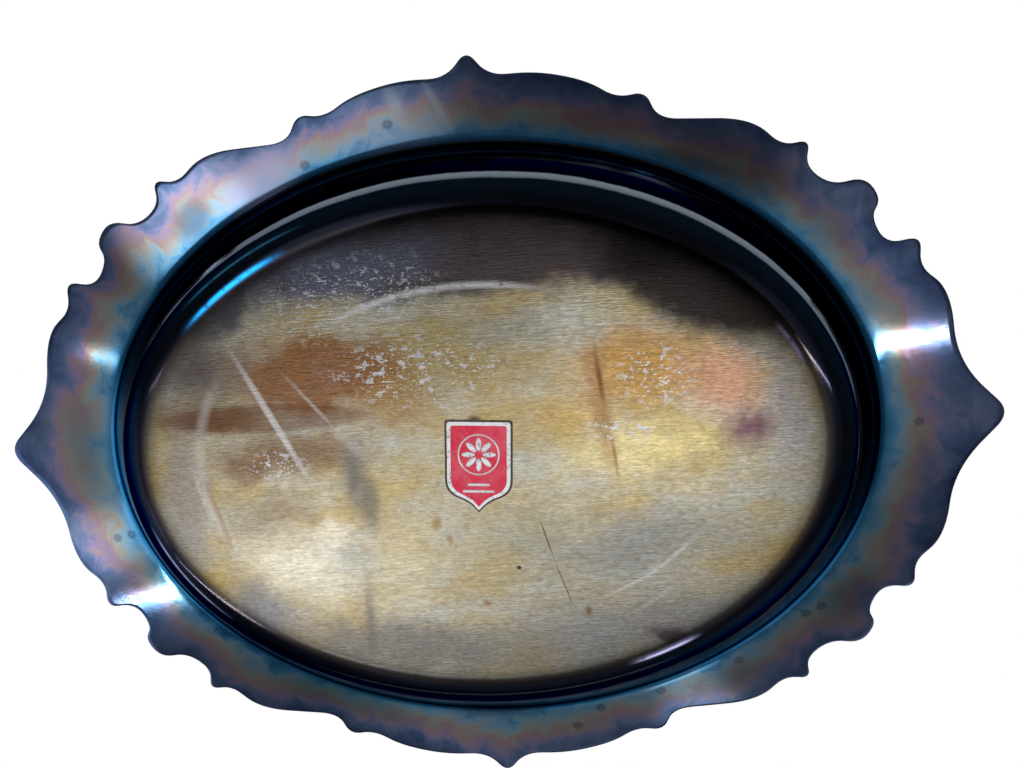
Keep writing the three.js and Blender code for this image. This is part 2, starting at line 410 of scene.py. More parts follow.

# Wide stains on the base, with ragged edges, and painted light among them: painted highlights
# in the cream and the palest gold, and painted shade in the dark past the arc and at the upper
# right: (centre, half axes, turn, softness, colour, amount).
BASE_STAINS_AND_PAINTED_LIGHT = [
    ((-12, -42), (52, 22), 0, 0.7, "#b59c5c", 0.75),  # olive gold
    ((14, -50), (28, 12), 0, 0.8, "#b4b4aa", 0.7),
    ((-64, -37), (46, 22), 0, 0.5, "#96603a", 0.85),  # orange brown
    ((-34, -22), (26, 18), 10, 0.8, "#b08344", 0.6),
    ((-114, -38), (28, 22), 0, 0.9, "#6e6670", 0.85),
    ((-108, -19), (34, 10), 0, 0.8, "#70483a", 0.7),
    ((-76, -3), (46, 16), 0, 0.8, "#8e7258", 0.85),
    ((-60, 12), (16, 10), 0, 1.0, "#c4beb2", 0.5),
    ((-96, 0), (16, 12), 0, 0.8, "#8d6a52", 0.6),
    ((-88, 22), (26, 12), 0, 0.8, "#a0958c", 0.6),
    ((-123, 12), (13, 46), 0, 0.7, "#b4aca6", 0.8),
    ((66, -34), (42, 24), -6, 0.8, "#cf9c50", 0.8),  # gold
    ((36, -14), (22, 18), 0, 0.9, "#d8b670", 0.65),
    # Pale gold and pink, lightened into a painted highlight where more light falls.
    ((66, 0), (52, 15), -6, 0.9, "#fbe9a8", 0.8),
    ((98, -26), (26, 20), 25, 0.8, "#f0b494", 0.8),
    ((108, -7), (16, 11), -20, 1.0, "#7a4668", 0.85),  # purple
    # The two cream patches are painted highlights where the base is brightest.
    ((-79, 45), (34, 19), 20, 0.9, "#fff8e2", 0.85),  # cream
    ((-62, 32), (14, 12), 0, 0.9, "#fff8e6", 0.7),
    ((-32, 48), (20, 30), 0, 0.9, "#e6dab4", 0.5),
    ((20, 34), (38, 20), 0, 0.9, "#b4b5a6", 0.6),
    ((68, 40), (64, 24), -10, 0.9, "#9b9b98", 0.8),
    ((66, 74), (90, 24), -8, 0.8, "#a3a4a6", 0.85),  # grey
    ((-40, 80), (80, 18), 6, 0.8, "#8f8c8c", 0.85),
    ((-96, 62), (24, 14), 35, 0.8, "#8a8a92", 0.75),
    ((75, 80), (13, 7), 20, 0.7, "#5a4652", 0.85),
    # Past the arc the base is dark with stains and with painted shade.
    ((0, -92), (132, 31), 0, 0.3, "#5a5057", 0.95),  # purple brown, past the arc
    ((-50, -78), (58, 18), -12, 0.8, "#7c849f", 0.85),
    ((-98, -64), (38, 12), -36, 0.8, "#4b4e64", 0.85),
    # Darkest at the upper right: a stain deepened with painted shade.
    ((94, -66), (62, 26), 26, 0.45, "#302b31", 0.95),
    ((124, -14), (13, 40), 0, 0.9, "#c4bcbe", 0.85),
]

# Marks with cleaner edges: drips, scratches, and an upright blue-grey painted shadow.
BASE_MARKS_AND_PAINTED_SHADOW = [
    ((-88, -19), (52, 7), 0, 0.35, "#74482f", 0.6),  # ends along a straight line
    # Painted shadow: a blue-grey upright band, and its fainter grey tail below.
    ((-52, 8), (8, 26), 0, 1.0, "#6a6c74", 0.75),
    ((-46, 18), (6, 18), 0, 0.8, "#5e666e", 0.6),
    stroke(-50, 44, -50, 94, 7, 1.0, "#7f7b76", 0.7),
    stroke(45, -54, 56, 24, 13, 1.0, "#a0683a", 0.55),
    stroke(48, -46, 52, -14, 3.6, 0.9, "#71401e", 0.75),
    stroke(53, -14, 57, 18, 2.4, 0.9, "#94602e", 0.6),
    stroke(-118, -2, -104, 44, 4.0, 0.9, "#94643c", 0.65),
    stroke(-122, -8, -112, 34, 3.4, 0.9, "#d2cac0", 0.6),
    stroke(-104, -58, -66, 18, 4.2, 0.7, "#e2dedc", 0.8),
    stroke(-82, -42, -54, -8, 2.6, 0.9, "#cfc6ba", 0.6),
    stroke(-60, -16, -44, 2, 9, 1.0, "#c9c4bf", 0.5),
    stroke(23, 26, 29, 46, 0.9, 0.5, "#40342e", 0.7),
    stroke(28.6, 45, 36, 66, 0.9, 0.5, "#40342e", 0.6),
    stroke(52, 74, 86, 52, 3.0, 0.9, "#cfcbc4", 0.5),
    ((42, 67), (2.2, 3), 0, 0.9, "#8a5f34", 0.8),
    ((-1, -15), (4.5, 2.6), 0, 0.9, "#4a3630", 0.85),  # glue above the label
    ((0, 63), (3, 2.2), 0, 0.9, "#94683a", 0.7),
    ((-19, 28), (3, 5), 20, 0.9, "#a5783c", 0.7),
    ((-14, 35), (2, 3), 0, 0.9, "#a0702f", 0.6),
    ((14, 48), (1.3, 1.1), 0, 0.5, "#2c2a2e", 0.9),
]

# The rim: its paler and darker places, crusts and ringed spots.
RIM_MARKS = [
    # Pale lilac patch: tarnish, with a painted reflection laid into it.
    ((-92, -119), (30, 15), -30, 0.8, "#a6a7c8", 0.7),
    ((-125, -103), (14, 12), -40, 0.7, "#3c4660", 0.6),
    ((-30, -136), (50, 12), -8, 0.8, "#8f8794", 0.4),
    ((60, -133), (34, 11), 10, 0.7, "#7a5c66", 0.5),
    ((112, -113), (44, 15), 26, 0.7, "#4c3a46", 0.5),
    ((88, -116), (30, 6), 18, 0.8, "#232a3c", 0.5),
    ((152, -86), (28, 15), 42, 0.8, "#3c5272", 0.45),
    ((191, 20), (16, 24), 0, 0.8, "#6c6262", 0.45),
    ((160, 80), (26, 16), -40, 0.8, "#33495e", 0.5),
    ((96, 122), (50, 12), -20, 0.8, "#28546a", 0.5),
    ((-75, 124), (60, 12), 18, 0.8, "#2b5868", 0.5),
    ((-160, 78), (28, 16), 40, 0.8, "#2c5a78", 0.45),
    ((-190, 0), (15, 34), 0, 0.8, "#59606c", 0.4),
    ((-3, 131), (34, 5), 0, 0.9, "#3a2c2e", 0.6),
    stroke(-38, -159, -25, -133, 10, 1.0, "#93a5b4", 0.55),  # wiped, and paler since
    stroke(-22, -161, -5, -129, 6, 0.9, "#9aaab4", 0.55),
]
RINGED_SPOTS = [(-35, -138), (-72, -123), (-178, 42), (-170, 40), (46, 131), (35, 141),
                (140, 87), (147, 84), (74, 123), (110, 109), (189, 1)]
for spot in RINGED_SPOTS:
    RIM_MARKS.append((spot, (3.2, 2.8), 0, 0.6, "#222a3c", 0.5))
    RIM_MARKS.append((spot, (1.5, 1.4), 0, 0.8, "#7a808c", 0.5))

# Where white flecks of bare plate show on the base.
FLECKED = [((-50, -66), (50, 22), -8), ((-22, -36), (50, 22), 0), ((72, -30), (22, 18), 0),
           ((-84, 2), (18, 10), 0), ((58, -8), (24, 8), 0)]

# Thin arcs that run round the pressing: pale ones on the base, and painted glints on the
# shoulder and wall, blue, lilac and pale, that stand in for reflected light:
# (out, half width, patch, half axes, colour, amount).
ARCS = [
    (69, 2.2, (-20, -72), (62, 26), "#dedcdc", 0.85),
    (81, 2.6, (-118, 0), (24, 62), "#cfcac6", 0.4),
    (96, 1.2, (-30, 92), (92, 26), "#aaa6a6", 0.5),
    (70, 1.2, (62, 46), (34, 26), "#d8d6d6", 0.35),
    # From here on, painted glints: reflected light laid into the colour of the shoulder and wall.
    (100, 2.2, (-98, -72), (36, 24), "#1f9ef0", 1.0),
    (107, 0.9, (-96, -82), (46, 22), "#4db6ea", 0.85),
    (119, 0.9, (-112, -88), (56, 30), "#2d7fae", 0.7),
    (124, 0.7, (-60, -112), (80, 28), "#4a80a8", 0.7),
    (121, 0.6, (90, -100), (70, 30), "#5a6672", 0.6),
    (99.5, 2.0, (74, 86), (20, 12), "#c6c7f4", 1.0),
    (104, 0.9, (-128, 50), (24, 34), "#9297ae", 0.7),
    (96, 1.4, (122, -36), (10, 16), "#b7a5de", 0.8),
    (105, 0.7, (0, 100), (110, 20), "#7f8898", 0.5),
]


def tarnished_plate_with_painted_light():
    """Silver plate on a pressed sheet, never polished on this side. The film of tarnish
    colours it in bands on the rim; on the base it is worn, with stains, and rubbed sideways.
    Painted light is laid into its colour as well: painted shade, a painted ribbon and glints
    on the shoulder and wall, and a painted shadow, highlights and shade among the base's stains."""
    material, tree, surface, place = new_metal("tarnished_silver_plate_with_painted_light")
    surface.inputs["Specular Tint"].default_value = (*linear("#9298a2"), 1)
    reach = add(tree, "Attribute", attribute_name="reach", out="Fac")

    # The film is thicker and thinner in patches on the rim, and even below it.
    on_rim = add(tree, "MapRange", reach, 0.0, 0.3, 0.03, 1.0, **SMOOTH)
    wide = grain(tree, place, 60, low=0.2, high=0.8, detail=2)
    fine = grain(tree, place, 12, low=0.2, high=0.8, detail=6, warp=0.8)
    uneven = add(tree, "Math", wide, fine, operation="ADD")
    uneven = add(tree, "MapRange", uneven, 0.0, 2.0, -0.36, 0.36)
    thick = add(tree, "Math", uneven, on_rim, reach, operation="MULTIPLY_ADD")
    lowest, highest = TARNISH_FILM_AND_PAINTED_LIGHT[0][0], TARNISH_FILM_AND_PAINTED_LIGHT[-1][0]
    film = [((at - lowest) / (highest - lowest), colour) for at, colour in TARNISH_FILM_AND_PAINTED_LIGHT]
    bands = add(tree, "ValToRGB", add(tree, "MapRange", thick, lowest, highest), stops=film)
    haze = grain(tree, place, 34, detail=5, low=0.42, high=0.8)
    haze = add(tree, "MapRange", haze, 0.0, 1.0, 0.0, 0.45)
    haze = add(tree, "Math", haze, on_rim, operation="MULTIPLY")
    bands = add(tree, "Mix", {0: haze, 6: bands, 7: "#7d7f8a"}, out=2, data_type="RGBA")
    bands = laid_over(tree, bands, place, RIM_MARKS)

    # The base: champagne silver under its stains and painted light.
    warm = grain(tree, place, 30, stretch=(1.8, 1, 1), detail=5)
    base = add(tree, "Mix", {0: warm, 6: "#cfcfc4", 7: "#cdb67e"}, out=2, data_type="RGBA")
    wander = []
    for seed in (0.0, 7.0):
        noise = add(tree, "TexNoise", {"Vector": place, "W": seed, "Scale": 0.06, "Detail": 5.0},
                    noise_dimensions="4D")
        wander.append(add(tree, "MapRange", noise, 0.0, 1.0, -11.0, 11.0))
    ragged = add(tree, "CombineXYZ", *wander)
    wandering = add(tree, "Mapping", {"Vector": place, "Location": ragged})
    base = laid_over(tree, base, wandering, BASE_STAINS_AND_PAINTED_LIGHT)
    speckle = grain(tree, place, 1.7, stretch=(1.8, 1, 1), detail=5, low=0.40, high=0.85)
    speckle = add(tree, "MapRange", speckle, 0.0, 1.0, 0.0, 0.6)
    base = add(tree, "Mix", {0: speckle, 6: base, 7: "#cdb083"}, out=2, data_type="RGBA",
               blend_type="MULTIPLY")
    base = laid_over(tree, base, place, BASE_MARKS_AND_PAINTED_SHADOW)

    # Bare plate shows in flecks.
    flecked = 0.0
    for centre, half, turn in FLECKED:
        there = patch(tree, place, centre, half, turn, 0.7)
        flecked = add(tree, "Math", flecked, there, operation="MAXIMUM")
    small = grain(tree, place, 0.9, stretch=(1.6, 1, 1), detail=1, low=0.62, high=0.66)
    large = grain(tree, place, 2.6, stretch=(1.5, 1, 1), detail=2, low=0.59, high=0.62)
    flecks = add(tree, "Math", small, large, operation="MAXIMUM")
    bare = add(tree, "Math", flecked, flecks, operation="MULTIPLY")
    base = add(tree, "Mix", {0: bare, 6: base, 7: "#d8d6d6"}, out=2, data_type="RGBA")

    # Rubbed sideways, in lines drawn coarser than the real ones so that they show.
    rubbed = grain(tree, place, 1.0, stretch=(2.6, 0.5, 1), turn=1, detail=5, low=0.3, high=0.7)
    longer = grain(tree, place, 1.0, stretch=(11, 0.6, 1), turn=-1, detail=2, low=0.2, high=0.8)
    rubbed = add(tree, "Math", rubbed, longer, operation="ADD")
    shade = add(tree, "MapRange", rubbed, 0.0, 2.0, 0.48, 0.0)
    base = add(tree, "Mix", {0: shade, 6: base, 7: "#100c08"}, out=2, data_type="RGBA")
    crossed = grain(tree, place, 1.0, stretch=(0.4, 9, 1), turn=9, detail=2, low=0.70, high=0.78)
    scratched = add(tree, "Math", crossed, 0.35, operation="MULTIPLY")
    base = add(tree, "Mix", {0: scratched, 6: base, 7: "#aaa6a8"}, out=2, data_type="RGBA")
    broken_up = grain(tree, place, 5, detail=4, low=0.2, high=0.5)
    # Painted shade: towards the shoulder the base darkens to near black, standing in for dark
    # surroundings seen in the metal.
    painted_shade_by_shoulder = add(tree, "MapRange", reach, -1.10, -0.94, 0.0, 0.60, **SMOOTH)
    base = add(tree, "Mix", {0: painted_shade_by_shoulder, 6: base, 7: "#0c0a0c"}, out=2, data_type="RGBA")

    on_base = add(tree, "MapRange", reach, -0.88, -1.00, **SMOOTH)
    colour = add(tree, "Mix", {0: on_base, 6: bands, 7: base}, out=2, data_type="RGBA")
    # Pale arcs on the base, then painted glints on the shoulder and wall, broken up in patches.
    for out, half_width, centre, half, pale_and_glint_colour, amount in ARCS:
        off = add(tree, "Math", reach, (out - RIM_START[0]) / WALL_RUN, operation="SUBTRACT")
        off = add(tree, "Math", off, operation="ABSOLUTE")
        line = add(tree, "MapRange", off, half_width / WALL_RUN, 0.0, **SMOOTH)
        there = patch(tree, place, centre, half, 0, 0.6, amount)
        line = add(tree, "Math", line, there, operation="MULTIPLY")
        line = add(tree, "Math", line, broken_up, operation="MULTIPLY")
        colour = add(tree, "Mix", {0: line, 6: colour, 7: pale_and_glint_colour}, out=2, data_type="RGBA")
    rough = add(tree, "MapRange", on_base, 0.0, 1.0, 0.06, 0.21)
    rough = add(tree, "Math", fine, 0.06, rough, operation="MULTIPLY_ADD")
    rough = add(tree, "Math", crossed, 0.06, rough, operation="MULTIPLY_ADD")
    slow = grain(tree, place, 55, low=0.0, high=1.0, detail=1)
    dents = add(tree, "Bump", {"Strength": 0.25, "Distance": 0.2 * MM, "Height": slow})
    scored = add(tree, "Math", crossed, 0.2, rubbed, operation="MULTIPLY_ADD")
    felt = add(tree, "MapRange", on_base, 0.0, 1.0, 0.03, 0.25)
    brushed = add(tree, "Bump", {"Strength": felt, "Distance": 0.04 * MM, "Height": scored,
                                 "Normal": dents})
    finish_metal(tree, surface, colour, rough, brushed)
    return material


def polished_plate():
    """The front, polished for use: bright silver with fine scratches every way, and a faint
    yellow tarnish where a cloth doesn't reach."""
    material, tree, surface, place = new_metal("polished_silver_plate")
    reach = add(tree, "Attribute", attribute_name="reach", out="Fac")
    cloudy = grain(tree, place, 26, detail=5, low=0.2, high=0.9, warp=0.4)
    in_corner = add(tree, "MapRange", reach, -1.15, -0.85, 0.0, 0.7, **SMOOTH)
    up_wall = add(tree, "MapRange", reach, -0.7, -0.35, 1.0, 0.15, **SMOOTH)
    by_border = add(tree, "MapRange", reach, 0.0, 0.5, 0.0, 0.8, **SMOOTH)
    dull = add(tree, "Math", in_corner, up_wall, operation="MULTIPLY")
    dull = add(tree, "Math", dull, by_border, operation="MAXIMUM")
    dull = add(tree, "Math", dull, cloudy, operation="MULTIPLY")
    colour = add(tree, "Mix", {0: cloudy, 6: "#ebe9e2", 7: "#e0dacb"}, out=2, data_type="RGBA")
    colour = add(tree, "Mix", {0: dull, 6: colour, 7: "#a28a62"}, out=2, data_type="RGBA")
    rough = add(tree, "MapRange", cloudy, 0.0, 1.0, 0.07, 0.2)
    scratches = 0.0
    for turn in (24, -38, 81):
        some = grain(tree, place, 1.2, stretch=(20, 0.4, 1), turn=turn, detail=2, low=0.62,
                     high=0.74)
        scratches = add(tree, "Math", scratches, some, operation="MAXIMUM")
    rough = add(tree, "Math", scratches, 0.09, rough, operation="MULTIPLY_ADD")
    slow = grain(tree, place, 45, low=0.0, high=1.0, detail=1)
    dents = add(tree, "Bump", {"Strength": 0.3, "Distance": 0.25 * MM, "Height": slow})
    scratched = add(tree, "Bump", {"Strength": 0.12, "Distance": 0.03 * MM,
                                   "Height": scratches, "Normal": dents})
    finish_metal(tree, surface, colour, rough, scratched)
    return material


def cast_silver():
    """Plated cast metal: bright on its high places, with black-brown tarnish in its grooves
    and a faint casting grain."""
    material, tree, surface, place = new_metal("cast_silver_plate")
    groove = add(tree, "Attribute", attribute_name="groove", out="Fac")
    patchy = grain(tree, place, 9, detail=4, low=0.2, high=0.8)
    patchy = add(tree, "MapRange", patchy, 0.0, 1.0, -0.12, 0.12)
    held = add(tree, "Math", groove, patchy, operation="ADD")
    colour = add(tree, "ValToRGB", held, stops=[
        (0.25, "#efece4"), (0.5, "#cbc5b6"), (0.66, "#8a7a64"), (0.85, "#3a3028")])
    rough = add(tree, "MapRange", held, 0.3, 0.85, 0.16, 0.5, **SMOOTH)
    sandy = grain(tree, place, 0.7, detail=2)
    pitted = add(tree, "Bump", {"Strength": 0.15, "Distance": 0.06 * MM, "Height": sandy})
    finish_metal(tree, surface, colour, rough, pitted)
    return material


def red_foil():
    """Foil under clear red lacquer: deep red that catches the light, with a fine pressed
    grain and rubbed paler in patches."""
    material, tree, surface, place = new_metal("red_lacquered_foil")
    surface.inputs["Metallic"].default_value = 0.2
    mottled = grain(tree, place, 1.1, detail=4, low=0.3, high=0.75)
    rubbed = grain(tree, place, 9, detail=3, low=0.35, high=0.7)
    colour = add(tree, "Mix", {0: mottled, 6: "#e80a3c", 7: "#f23c5c"}, out=2, data_type="RGBA")
    rubbed = add(tree, "MapRange", rubbed, 0.0, 1.0, 0.0, 0.5)
    colour = add(tree, "Mix", {0: rubbed, 6: colour, 7: "#f47888"}, out=2, data_type="RGBA")
    rough = add(tree, "MapRange", mottled, 0.0, 1.0, 0.3, 0.5)
    pressed = add(tree, "Bump", {"Strength": 0.3, "Distance": 0.04 * MM, "Height": mottled})
    finish_metal(tree, surface, colour, rough, pressed)
    return material


def glue_and_painted_shadow():
    """Glue that has yellowed and gathered dirt, its dark brown also a painted shadow round the
    tag's edge, with a dull shine.
    """
    material, tree, surface, place = new_metal("glue_ring_and_painted_shadow")
    surface.inputs["Metallic"].default_value = 0
    lumps = grain(tree, place, 1.0, detail=3)
    colour = add(tree, "Mix", {0: lumps, 6: "#3b332e", 7: "#6e5a44"}, out=2, data_type="RGBA")
    rough = add(tree, "MapRange", lumps, 0.0, 1.0, 0.45, 0.7)
    lumpy = add(tree, "Bump", {"Strength": 0.4, "Distance": 0.05 * MM, "Height": lumps})
    finish_metal(tree, surface, colour, rough, lumpy)
    return material


def bright_foil():
    """Bare bright foil: nearly white, with small grey rubs."""
    material, tree, surface, place = new_metal("bright_foil")
    surface.inputs["Metallic"].default_value = 0.5
    rubs = grain(tree, place, 1.4, detail=4, low=0.5, high=0.75)
    colour = add(tree, "Mix", {0: rubs, 6: "#eef1f4", 7: "#a3a6ad"}, out=2, data_type="RGBA")
    rough = add(tree, "MapRange", rubs, 0.0, 1.0, 0.3, 0.55)
    pressed = add(tree, "Bump", {"Strength": 0.2, "Distance": 0.03 * MM, "Height": rubs})
    finish_metal(tree, surface, colour, rough, pressed)
    return material


# ---- Modelling ----


def press(name, columns, rows, placed):
    """A flat grid pressed to shape: each of its crossings goes where placed, an array of
    (x, y, z) in millimetres for each row and column, says."""
    bpy.ops.object.select_all(action="DESELECT")
    bpy.ops.mesh.primitive_grid_add(x_subdivisions=columns - 1, y_subdivisions=rows - 1, size=1)
    piece = bpy.context.object
    piece.name = piece.data.name = name
    flat = np.empty(columns * rows * 3)
    piece.data.vertices.foreach_get("co", flat)
    flat = flat.reshape(-1, 3)
    column = np.rint((flat[:, 0] + 0.5) * (columns - 1)).astype(int)
    row = np.rint((flat[:, 1] + 0.5) * (rows - 1)).astype(int)
    piece.data.vertices.foreach_set("co", (placed[row, column] * MM).ravel())
    piece.data.update()
    return piece


def tidy_mesh(piece, facing):
    """Merges doubles and turns the faces the right way: facing is a vector that the first
    face must look along."""
    bpy.ops.object.mode_set(mode="EDIT")
    bpy.ops.mesh.select_all(action="SELECT")
    bpy.ops.mesh.remove_doubles(threshold=0.01 * MM)
    bpy.ops.mesh.normals_make_consistent(inside=False)
    bpy.ops.object.mode_set(mode="OBJECT")
    if piece.data.polygons[0].normal.dot(Vector(facing)) < 0:
        bpy.ops.object.mode_set(mode="EDIT")
        bpy.ops.mesh.flip_normals()
        bpy.ops.object.mode_set(mode="OBJECT")


def modify(piece, kind, **settings):
    """Adds a modifier with its settings and applies it."""
    modifier = piece.modifiers.new(kind.lower(), kind)
    for name, value in settings.items():
        setattr(modifier, name, value)
    bpy.ops.object.modifier_apply(modifier=modifier.name)


def mark(piece, name, values):
    """Stores a number for each vertex, for the material to read."""
    piece.data.attributes.new(name, "FLOAT", "POINT").data.foreach_set("value", values)


def plan(piece):
    """The vertices' places in millimetres."""
    places = np.empty(len(piece.data.vertices) * 3)
    piece.data.vertices.foreach_get("co", places)
    return places.reshape(-1, 3) / MM


# ---- Tray body ----

RIM_ROWS = 13
EDGE_ROUNDING = 0.28  # of the trimmed edge


def tray_body():
    """The sheet is pressed to its underside, then given its thickness and a softened edge."""
    order = np.argsort(EDGE_TURN)
    turn = np.append(EDGE_TURN[order], EDGE_TURN[order][0] + 2 * math.pi)
    edge = np.append(EDGE_OUT[order], EDGE_OUT[order][0])
    rows = []
    for out, height in WELL:
        x, y = from_press(turn, np.full(len(turn), float(out)))
        rows.append(np.stack((x, y, np.full(len(turn), float(height))), axis=1))
    for k in range(1, RIM_ROWS + 1):
        out = RIM_FOOT[0] + (edge - RIM_FOOT[0]) * k / RIM_ROWS
        x, y = from_press(turn, out)
        rows.append(np.stack((x, y, rim_height(out)), axis=1))
    body = press("salver_body", len(turn), len(rows), np.array(rows))
    tidy_mesh(body, (0, 0, -1))
    body.data.materials.append(tarnished_plate_with_painted_light())
    body.data.materials.append(polished_plate())
    modify(body, "SOLIDIFY", thickness=SHEET * MM, offset=-1, use_even_offset=True,
           material_offset=1)
    modify(body, "BEVEL", width=EDGE_ROUNDING * MM, segments=2, limit_method="ANGLE",
           angle_limit=math.radians(55))
    bpy.ops.object.shade_smooth_by_angle(angle=math.radians(40))
    places = plan(body)
    turn, out = to_press(places[:, :2])
    run = np.where(out > RIM_START[0], edge_out(turn) - RIM_START[0], WALL_RUN)
    mark(body, "reach", ((out - RIM_START[0]) / run).astype(np.float32))
    return body


# ---- Border ----

# The border's inner edge and saw cuts over one quarter, as in the CAD.
INNER_QUARTER = [
    (182, 0, 7), (188, 11, 5), (183, 19, 3), (186.5, 34, 9), (180, 50, 8), (169, 57, 4),
    (171, 65, 5), (158, 74, 6), (153, 84, 6), (154, 93, 5), (139, 95, 7), (124, 101, 5),
    (122, 108, 4), (106, 115, 9), (84, 119.5, 8), (68, 124.5, 6), (62, 132, 6),
    (44, 138, 10), (21, 139.5, 4), (13, 145, 4), (0, 137, 7),
]
SAW_CUTS = [
    ((176, 15), (224, 31)),
    ((165, 57.8), (207, 71.9)),
    ((116.5, 96), (143, 137)),
    ((22, 130), (26, 172)),
]
SAW_GAP = 0.3
RELIEF_STEP = 0.8  # spacing of the mesh along the border
RELIEF_ROWS = 32
BORDER_OUT = 155.0  # roughly along the middle of the border
BORDER_RADIUS = 205.0  # roughly the length along its edge of one radian of turn

INNER = rounded(mirrored(INNER_QUARTER), 1.0)
INNER_TURN, INNER_OUT = to_press(INNER)
FINE_EDGE = rounded(mirrored(EDGE_QUARTER), 0.5)

# Heights above the rim's front: the highest points, and where the two mouldings begin.
GROUND, GADROON, RIBBON, EDGE_BEAD, INNER_BEAD, TALLEST = 0.5, 0.7, 1.8, 2.2, 1.45, 3.5
INNER_FOOT, EDGE_FOOT = 0.35, 0.3
GADROON_PACE = 62  # gadroons in half the way round, each 8 to 10 mm wide
SINK = 0.05  # how far the border goes into the rim's front, so that no gap shows

# Spiral ends of the scrolls: (centre, radius, handedness).
VOLUTES = [
    ((196, 27), 5.2, 1), ((186, 58.5), 5.2, -1),
    ((178.5, 70), 4.6, 1), ((163.5, 83), 4.4, -1), ((160.5, 96), 4.2, 1),
    ((147, 99.5), 4.4, -1), ((134.5, 108.5), 5, 1),
    ((122.5, 120), 5.4, -1), ((80.5, 127), 4.6, 1),
    ((69, 135.5), 4.6, -1), ((30, 148.5), 5.4, 1),
]
# Fans of flutes: (hinge, direction, half spread, reach, flutes).
SHELLS = [
    ((190, 0), 0, 50, 34, 9),
    ((0, 139), 90, 58, 24, 9),
    ((178, 68), 40, 44, 15, 5),
    ((158, 90), 34, 52, 17, 7),
    ((134, 108), 48, 44, 15, 5),
    ((68, 131), 64, 44, 15, 5),
    ((196, 0), 180, 38, 15, 5),
    ((0, 148), 270, 38, 12, 5),
]


def nearest(points, line):
    """Each point's distance to a line of closely spaced points."""
    far = np.full(len(points), 1e9)
    for k in range(0, len(line), 200):
        gap = points[:, None, :] - line[None, k:k + 200, :]
        far = np.minimum(far, np.sqrt((gap ** 2).sum(axis=2)).min(axis=1))
    return far


def half_round(far, half_width):
    """The section of a half-round moulding, 1 on its middle line."""
    return np.sqrt(np.clip(1 - (far / half_width) ** 2, 0, 1))


def relief(points):
    """The height of the ornament above the rim, in millimetres."""
    folded = np.abs(points)
    turn, _ = to_press(points)
    to_edge = nearest(points, FINE_EDGE)
    to_inner = nearest(points, INNER)
    height = GROUND + 0.25 * np.clip(to_inner / 4, 0, 1)
    # Gadroons lean across the field between the two mouldings.
    around = turn * GADROON_PACE + to_edge * 0.16
    field = np.clip((to_edge - 3.4) / 1.5, 0, 1) * np.clip((to_inner - 1.8) / 2, 0, 1)
    height += field * GADROON * np.abs(np.sin(around))
    # A ribbon runs inside the edge, and joins the scrolls.
    ribbon = half_round(to_edge - 6.6, 1.7)
    height = np.maximum(height, GROUND + (RIBBON - GROUND) * ribbon)
    for (cx, cy), direction, spread, reach, flutes in SHELLS:
        aside = folded - (cx, cy)
        far = np.hypot(aside[:, 0], aside[:, 1])
        lean = np.arctan2(aside[:, 1], aside[:, 0]) - math.radians(direction)
        lean = np.abs((lean + math.pi) % (2 * math.pi) - math.pi) / math.radians(spread)
        ridges = np.abs(np.cos(lean * flutes * math.pi / 2))
        dome = half_round(far / reach - 0.45, 0.6) * half_round(lean, 1.05)
        height = np.maximum(height, dome * (1.9 + 1.1 * ridges))
    inner_bead = half_round(to_inner - 1.3, 1.3)
    height = np.maximum(height, INNER_FOOT + (INNER_BEAD - INNER_FOOT) * inner_bead)
    edge_bead = half_round(to_edge - 1.8, 1.9)
    height = np.maximum(height, EDGE_FOOT + (EDGE_BEAD - EDGE_FOOT) * edge_bead)
    for (cx, cy), radius, hand in VOLUTES:
        aside = folded - (cx, cy)
        far = np.hypot(aside[:, 0], aside[:, 1])
        whirl = far / 1.9 - hand * np.arctan2(aside[:, 1], aside[:, 0]) / (2 * math.pi)
        groove = np.abs(np.cos(math.pi * whirl))
        height = np.maximum(height, half_round(far, radius) * (2.0 + 1.0 * groove))
    return np.minimum(height, TALLEST)


def cut_turn(cut, out):
    """The turn of a saw cut at a distance out. A cut is its line, and the turns that it and
    its mirror image add up to, if the mirror image is meant."""
    line, both = cut
    (near, far), (near_out, far_out) = to_press(np.array(line, dtype=float))
    turn = near + (far - near) * (out - near_out) / (far_out - near_out)
    return turn if both is None else both - turn


